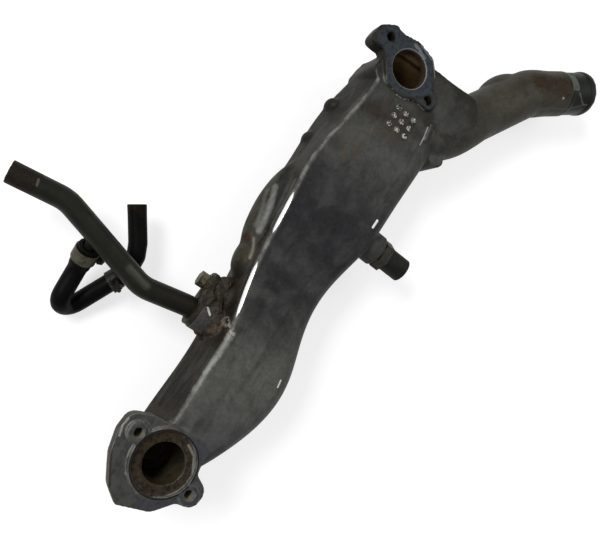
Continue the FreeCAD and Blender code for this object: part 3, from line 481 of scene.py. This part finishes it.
def pipe_steel():
    """Dull plated tube with olive tarnish and a brown end."""
    f = Finish("tarnished_tube", Specular_IOR_Level=0.15)
    blots = f.noise(16.0, 5.0, 0.6, 0.5)
    fine = f.noise(1.6, 3.0, 0.6)
    streaks = f.noise(3.0, 4.0, 0.6, stretch=(1.0, 8.0, 1.0))
    colour = f.blend(blots, 0.35, 0.68, (33, 34, 27), (24, 24, 19))
    colour = f.mix(f.step(streaks, 0.5, 0.7) * 0.35, colour, tone(40, 39, 31))
    colour = f.mix(f.step(fine, 0.55, 0.7) * 0.4, colour, tone(19, 18, 14))
    root = 1.0 - f.step(f.y, 48.0, 78.0)
    colour = f.mix(root * 0.8, colour, f.blend(blots, 0.4, 0.6, (34, 28, 22), (26, 24, 21)))
    f.ripple = fine
    shine = f.trail([(96.4, 87.3, -19.0), (95.0, 79.9, -19.0), (92.8, 72.1, -19.0)], 4.6, 0.9, 2.0)
    colour = f.mix(shine * 0.6, colour, tone(72, 72, 64))
    end = f.step(f.y + fine * 1.5, 164.5, 166.5)
    colour = f.mix(end, colour, f.blend(fine, 0.4, 0.6, (31, 25, 17), (22, 18, 13)))
    colour = f.draw(colour, [(112.0, 166.0, -19.6), (108.0, 164.8, -19.0)], 1.0, 0.5, 1.2, 0.6, (92, 90, 78))
    f.set(Base_Color=colour, Metallic=0.3 - end * 0.2)
    f.set(Roughness=0.5 + (blots - 0.5) * 0.3 + end * 0.15 - shine * 0.1)
    f.set(Normal=f.bump(fine * 0.6 + blots, 0.12))
    return f.material


def hose_rubber():
    """Black rubber with a dusty bloom."""
    f = Finish("hose_rubber", Specular_IOR_Level=0.05)
    blots = f.noise(14.0, 4.0, 0.6)
    fine = f.noise(0.9, 2.0, 0.6)
    colour = f.blend(blots, 0.4, 0.7, (8, 8, 8), (11, 11, 10))
    colour = f.mix(f.step(fine, 0.6, 0.75) * 0.4, colour, tone(18, 17, 15))
    near_end = f.step(f.x, 132.0, 134.5)
    colour = f.mix(near_end * 0.8, colour, f.blend(fine, 0.4, 0.6, (26, 21, 15), (17, 15, 12)))
    f.set(Base_Color=colour, Roughness=0.5 + (blots - 0.5) * 0.3)
    f.set(Normal=f.bump(fine, 0.05))
    return f.material


def worn_metal(name, main, stain, metallic, rough, size=4.0):
    """Small steel parts: a main colour broken by stains."""
    f = Finish(name, Specular_IOR_Level=0.3)
    blots = f.noise(size, 4.0, 0.65, 0.4)
    fine = f.noise(0.7, 2.0, 0.6)
    f.set(Base_Color=f.blend(blots, 0.42, 0.62, main, stain))
    f.set(Metallic=metallic, Roughness=rough + (blots - 0.5) * 0.3)
    f.set(Normal=f.bump(fine + blots, 0.06))
    return f.material


def plug_plastic():
    """Olive black plastic of the sensor's plug."""
    f = Finish("plug_plastic", Specular_IOR_Level=0.12)
    fine = f.noise(0.8, 2.0, 0.6)
    blots = f.noise(9.0, 4.0, 0.6)
    f.set(Base_Color=f.blend(blots, 0.4, 0.7, (26, 27, 23), (32, 32, 28)))
    f.set(Roughness=0.6 + (blots - 0.5) * 0.2)
    f.set(Normal=f.bump(fine, 0.05))
    return f.material


def baked_dirt():
    """Brown dirt baked onto the bracket."""
    f = Finish("baked_dirt", Specular_IOR_Level=0.12, Roughness=0.75)
    blots = f.noise(5.0, 4.0, 0.6, 0.4)
    fine = f.noise(1.2, 3.0, 0.6)
    colour = f.blend(blots, 0.4, 0.62, (58, 52, 43), (34, 30, 24))
    colour = f.mix(f.step(fine, 0.5, 0.66) * 0.5, colour, tone(78, 75, 66))
    f.set(Base_Color=colour)
    f.set(Normal=f.bump(fine + blots, 0.25))
    return f.material


def apply_modifier(kind, **settings):
    """Add a modifier to the active object and apply it."""
    shape = bpy.context.object.modifiers.new(kind.lower(), kind)
    for name, value in settings.items():
        setattr(shape, name, value)
    bpy.ops.object.modifier_apply(modifier=shape.name)


def weigh(skin, name, weights):
    """A vertex group of the skin from one weight a vertex."""
    group = skin.vertex_groups.new(name=name)
    steps = np.round(np.clip(weights, 0.0, 1.0) * 20.0).astype(int)
    for level in range(1, 21):
        chosen = np.flatnonzero(steps == level)
        if len(chosen):
            group.add(chosen.tolist(), level / 20.0, "REPLACE")


def add_skin(node, name, grain, passes, faces):
    """An even, softened skin that stands for a solid.

    The grain is its edge length in millimetres. Each pass is a rule that gives a softness
    from 0 to 1 for places in millimetres, and a count of smoothing steps.
    """
    bpy.ops.object.select_all(action="DESELECT")
    skin = bpy.data.objects.new(name, nodes[node].data.copy())
    bpy.context.scene.collection.objects.link(skin)
    bpy.context.view_layer.objects.active = skin
    skin.select_set(True)
    bpy.ops.object.mode_set(mode="EDIT")
    bpy.ops.mesh.select_all(action="SELECT")
    bpy.ops.mesh.remove_doubles(threshold=1e-6)
    bpy.ops.object.mode_set(mode="OBJECT")
    apply_modifier("REMESH", mode="VOXEL", voxel_size=grain * MM, use_smooth_shade=True)
    for number, (rule, steps) in enumerate(passes):
        places = np.empty(len(skin.data.vertices) * 3)
        skin.data.vertices.foreach_get("co", places)
        x, y, z = places.reshape(-1, 3).T / MM
        group = "soft_%d" % number
        weigh(skin, group, rule(x, y, z))
        apply_modifier("SMOOTH", factor=0.5, iterations=steps, vertex_group=group)
    count = len(skin.data.polygons) * 2
    if count > faces:
        apply_modifier("DECIMATE", ratio=faces / count)
    skin.data.materials.clear()
    bpy.ops.object.shade_smooth()
    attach(skin, "root")
    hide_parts(node)
    return skin


def ramp(value, low, high):
    """0 up to low and 1 from high."""
    return np.clip((value - low) / (high - low), 0.0, 1.0)


def distance(x, y, z, place):
    """Distance in millimetres from a place."""
    return np.sqrt((x - place[0]) ** 2 + (y - place[1]) ** 2 + (z - place[2]) ** 2)


def cast_edges(x, y, z):
    """Softness of the raw cast surface; machined faces, bores and pipe ends keep their edges."""
    # flange faces, ports and bolt holes
    soft = np.ones_like(x)
    soft *= ramp(-z, 2.6, 3.2)
    soft *= np.maximum(ramp(x, 30.0, 34.0), ramp(-z, 4.5, 7.0))
    for port in (0.0, PORT_GAP):
        soft *= ramp(np.hypot(x - port, y), 17.0, 19.0)
        for sign in (1.0, -1.0):
            away = np.hypot(x - port - sign * BOLT_STEP[0], y - sign * BOLT_STEP[1])
            soft *= ramp(away, 4.5, 6.0)
    # end of the branch, mouth of the heater boss and mouth of the sensor boss
    along = x * 0.648 - y * 0.761
    soft *= 1.0 - 0.85 * ramp(along, 380.0, 388.0)
    soft *= np.maximum(1.0 - ramp(y, 27.0, 30.0), ramp(x, 132.0, 136.0))
    soft *= 1.0 - ramp(-y, 60.0, 63.0) * (1.0 - ramp(x, 232.0, 236.0))
    return soft


# Roots that the casting blends widely: a place and its reach
ROOTS = [(330.0, -62.0, -28.0, 34.0), (355.0, -45.0, -20.0, 26.0), (97.0, 16.0, -27.0, 17.0),
         (118.0, 14.0, -27.0, 13.0), (215.0, -52.0, -27.0, 15.0), (22.0, 0.0, -20.0, 20.0),
         (172.0, 33.0, -28.0, 22.0), (135.0, 27.0, -30.0, 18.0), (232.0, 33.0, -30.0, 20.0)]


def cast_roots(x, y, z):
    """Softness at the roots of the branch, necks and bosses, which the casting blends widely."""
    soft = np.zeros_like(x)
    for *place, reach in ROOTS:
        soft = np.maximum(soft, 1.0 - ramp(distance(x, y, z, place), reach * 0.5, reach))
    return soft * cast_edges(x, y, z)


# Cut ends of the hose: a place and the reach of what keeps its edges
HOSE_ENDS = [(139.3, 105.2, -46.0, 7.5), (95.8, 115.7, -35.5, 9.5)]


def hose_bends(x, y, z):
    """Softness of the hose away from its two cut ends."""
    soft = np.ones_like(x)
    for *place, reach in HOSE_ENDS:
        soft *= ramp(distance(x, y, z, place), reach, reach + 2.0)
    return soft


def tube_bends(x, y, z):
    """Softness of the tube away from its ends and beads."""
    return ramp(y, 36.0, 40.0) * (1.0 - ramp(y, 181.0, 182.0))


# Duct in plan: place along it, far side and near side
DUCT = [(-10.0, -15.0, 18.0), (18.0, -35.0, 20.0), (45.0, -48.0, 18.5), (75.0, -54.5, 17.5),
        (105.0, -50.0, 19.5), (140.0, -42.0, 23.5), (165.0, -43.2, 26.5), (200.0, -51.8, 30.5),
        (235.0, -55.5, 31.0), (270.0, -57.3, 31.0), (305.0, -58.5, 27.0), (340.0, -58.5, 23.5)]


def inner_faces(places, normals):
    """Faces that line the waterway, from their centres and normals in millimetres."""
    x, y, z = places.T
    at, far, near = np.array(DUCT).T
    middle = (np.interp(x, at, far) + np.interp(x, at, near)) / 2.0
    half = (np.interp(x, at, near) - np.interp(x, at, far)) / 2.0
    depth = (z > -48.0) & (z < -5.0)
    bolts = np.zeros_like(depth)
    for sign in (1.0, -1.0):
        bolts |= np.hypot(x - PORT_GAP - sign * BOLT_STEP[0], y - sign * BOLT_STEP[1]) < 5.0
    towards = normals[:, 1] * (middle - y) + normals[:, 2] * (DUCT_LEVEL - z)
    chosen = depth & (abs(y - middle) < half - 2.0) & (x > -12.0) & (x < 342.0) & (towards > 0.0)
    towards = (normals * (np.array((341.0, -25.0, DUCT_LEVEL)) - places)).sum(1)
    chosen |= depth & (x > 318.0) & (x < 361.0) & (y > -75.0) & (y < 22.0) & (towards > 0.0)
    for port, lip in ((0.0, -2.6), (PORT_GAP, -1.2)):
        chosen |= (np.hypot(x - port, y) < 17.4) & (z > -48.0) & (z < lip)
    for first, last in zip(BRANCH, BRANCH[1:]):
        run = np.array(last) - np.array(first)
        reach = np.linalg.norm(run)
        run = run / reach
        part = (x - first[0]) * run[0] + (y - first[1]) * run[1]
        side = (x - first[0]) * run[1] - (y - first[1]) * run[0]
        ends = normals[:, 0] * run[0] + normals[:, 1] * run[1] > 0.7
        chosen |= (np.hypot(side, z - BRANCH_LEVEL) < 18.4) & (part > -10.0) & (part < reach + 4.0) & ~ends
    return chosen & ~bolts


def line_waterway(skin, scale):
    """Give the faces inside a skin their own material."""
    count = len(skin.data.polygons)
    places, normals = np.empty(count * 3), np.empty(count * 3)
    skin.data.polygons.foreach_get("center", places)
    skin.data.polygons.foreach_get("normal", normals)
    chosen = inner_faces(places.reshape(-1, 3) / MM, normals.reshape(-1, 3))
    skin.data.materials.append(scale)
    skin.data.polygons.foreach_set("material_index", chosen.astype(np.int32))


# Baked dirt around the pipe bracket: places and radii of its lumps in millimetres
DIRT = [(120.0, 30.5, -24.2, 6.8), (123.2, 25.0, -25.0, 6.6), (117.4, 33.6, -22.6, 4.6),
        (110.5, 31.6, -21.4, 6.8), (105.8, 30.2, -20.8, 6.0), (109.0, 32.8, -25.0, 4.6),
        (113.0, 25.0, -24.8, 7.0), (104.2, 23.0, -21.4, 7.2), (98.0, 17.0, -20.6, 7.0),
        (127.0, 22.0, -28.0, 5.2), (86.2, 17.0, -31.0, 4.4), (87.4, 23.0, -24.0, 4.4),
        (92.0, 15.5, -22.0, 6.0)]


def add_dirt():
    """Lumps run together, roughened and smoothed."""
    bpy.ops.object.select_all(action="DESELECT")
    parts = []
    for x, y, z, radius in DIRT:
        bpy.ops.mesh.primitive_ico_sphere_add(subdivisions=3, radius=radius * MM,
                                              location=(x * MM, y * MM, z * MM))
        parts.append(bpy.context.object)
    for part in parts:
        part.select_set(True)
    bpy.context.view_layer.objects.active = parts[0]
    bpy.ops.object.join()
    bpy.ops.object.transform_apply(location=True, rotation=True, scale=True)
    crust = bpy.context.object
    crust.name = "baked_dirt"
    apply_modifier("REMESH", mode="VOXEL", voxel_size=0.45 * MM)
    apply_modifier("SMOOTH", factor=0.5, iterations=10)
    grit = bpy.data.textures.new("grit", "CLOUDS")
    grit.noise_scale = 3.2 * MM
    apply_modifier("DISPLACE", texture=grit, strength=2.4 * MM, mid_level=0.55, texture_coords="LOCAL")
    apply_modifier("SMOOTH", factor=0.5, iterations=4)
    bpy.ops.object.shade_smooth()
    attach(crust, "root")
    crust.data.materials.append(baked_dirt())


casting = add_skin("crossover_casting", "casting_skin", 0.9,
                   [(cast_edges, 14), (cast_roots, 90)], 190000)
hose = add_skin("bypass_hose", "hose_skin", 0.6, [(hose_bends, 40)], 60000)
heater_tube = add_skin("heater_pipe", "tube_skin", 0.7, [(tube_bends, 12)], 70000)
add_dirt()

rubber = hose_rubber()
tube = pipe_steel()
zinc = worn_metal("yellow_zinc", (88, 80, 60), (46, 40, 29), 0.4, 0.5)
strip = worn_metal("clamp_strip", (78, 76, 62), (58, 55, 43), 0.3, 0.5)
dark = worn_metal("dark_steel", (16, 15, 13), (27, 22, 16), 0.3, 0.55, 3.0)
rusty = worn_metal("rusty_steel", (46, 40, 30), (24, 20, 15), 0.2, 0.6, 3.0)
brass = worn_metal("stained_brass", (42, 41, 34), (36, 29, 20), 0.3, 0.55)
bracket = worn_metal("dirty_bracket", (46, 41, 32), (27, 23, 17), 0.3, 0.62)
plastic = plug_plastic()

FINISHES = {
    "crossover_casting": cast_metal(),
    "heater_pipe": tube,
    "pipe_o_ring": rubber,
    "pipe_bracket": bracket,
    "bracket_bolt": zinc,
    "bypass_hose": rubber,
    "end_clamp_band": strip,
    "end_clamp_housing": dark,
    "end_clamp_screw": dark,
    "run_clamp_band": dark,
    "run_clamp_housing": rusty,
    "run_clamp_screw": dark,
    "sensor_body": brass,
    "sensor_washer": strip,
    "sensor_connector": plastic,
    "sensor_terminal_1": strip,
    "sensor_terminal_2": strip,
}
SKINS = {"crossover_casting": casting, "bypass_hose": hose, "heater_pipe": heater_tube}
for name, material in FINISHES.items():
    slots = SKINS.get(name, nodes[name]).data.materials
    if not slots:
        slots.append(material)
    for index in range(len(slots)):
        slots[index] = material
line_waterway(casting, waterway_scale())

# Floor that gives shadows and looks white, world, lamps and camera
FLOOR_LEVEL = -0.0725
FLOOR_GLOW = 0.66
WORLD_LIGHT = 0.35
AIM = Vector((0.2, 0.0, 0.0))

bpy.ops.object.select_all(action="DESELECT")
bpy.ops.mesh.primitive_plane_add(size=6.0, location=(AIM.x, AIM.y, FLOOR_LEVEL))
floor = bpy.context.object
floor.name = "floor"
paper = Finish("floor_paper", Base_Color=(0.45, 0.45, 0.45, 1.0), Roughness=0.9, Specular_IOR_Level=0.0)
rays = paper.add("ShaderNodeLightPath")
seen = paper.larger(Field(paper, rays.outputs["Is Camera Ray"]),
                    paper.larger(Field(paper, rays.outputs["Is Glossy Ray"]),
                                 Field(paper, rays.outputs["Is Transmission Ray"])))
glow = paper.add("ShaderNodeEmission", {"Strength": seen * FLOOR_GLOW})
both = paper.add("ShaderNodeAddShader", {0: paper.shader.outputs[0], 1: glow.outputs[0]})
paper.feed(paper.output.inputs["Surface"], both.outputs[0])
floor.data.materials.append(paper.material)

# the world is dim as a light and white to the camera
world = bpy.data.worlds.new("studio")
bpy.context.scene.world = world
world.use_nodes = True
sky = world.node_tree
sky.nodes.clear()
plain = sky.nodes.new("ShaderNodeBackground")
plain.inputs["Color"].default_value = (1.0, 1.0, 1.0, 1.0)
paths = sky.nodes.new("ShaderNodeLightPath")
level = sky.nodes.new("ShaderNodeMath")
level.operation = "MULTIPLY_ADD"
level.inputs[1].default_value = 1.0 - WORLD_LIGHT
level.inputs[2].default_value = WORLD_LIGHT
sky.links.new(paths.outputs["Is Camera Ray"], level.inputs[0])
sky.links.new(level.outputs[0], plain.inputs["Strength"])
end_node = sky.nodes.new("ShaderNodeOutputWorld")
sky.links.new(plain.outputs[0], end_node.inputs["Surface"])


def add_lamp(name, place, width, height, power):
    """A rectangular lamp that points at the object."""
    data = bpy.data.lights.new(name, "AREA")
    data.shape = "RECTANGLE"
    data.size = width
    data.size_y = height
    data.energy = power
    lamp = bpy.data.objects.new(name, data)
    bpy.context.scene.collection.objects.link(lamp)
    lamp.location = place
    lamp.rotation_euler = (AIM - Vector(place)).to_track_quat("-Z", "Y").to_euler()


add_lamp("key", (0.1, 1.3, 1.4), 0.8, 0.5, 26.0)
add_lamp("fill", (1.2, -0.9, 1.5), 1.0, 1.0, 9.5)

view = bpy.data.cameras.new("camera")
view.sensor_width = 36.0
view.lens = 39.0
view.clip_start = 0.01
view.clip_end = 20.0
camera = bpy.data.objects.new("camera", view)
bpy.context.scene.collection.objects.link(camera)
# the photograph's view: ways to the right, down and ahead in the picture
right = Vector((0.511, -0.7609, 0.3998))
down = Vector((-0.8324, -0.554, 0.0096))
ahead = Vector((0.2142, -0.3377, -0.9166))
turn = Matrix((right, -down, -ahead)).transposed().to_4x4()
stand = Vector((0.0604, 0.1473, 0.4253))
camera.matrix_world = Matrix.Translation(stand) @ turn

scene = bpy.context.scene
scene.camera = camera
scene.render.engine = "CYCLES"
scene.render.resolution_x = 600
scene.render.resolution_y = 540
scene.cycles.samples = 128
scene.view_settings.view_transform = "Standard"
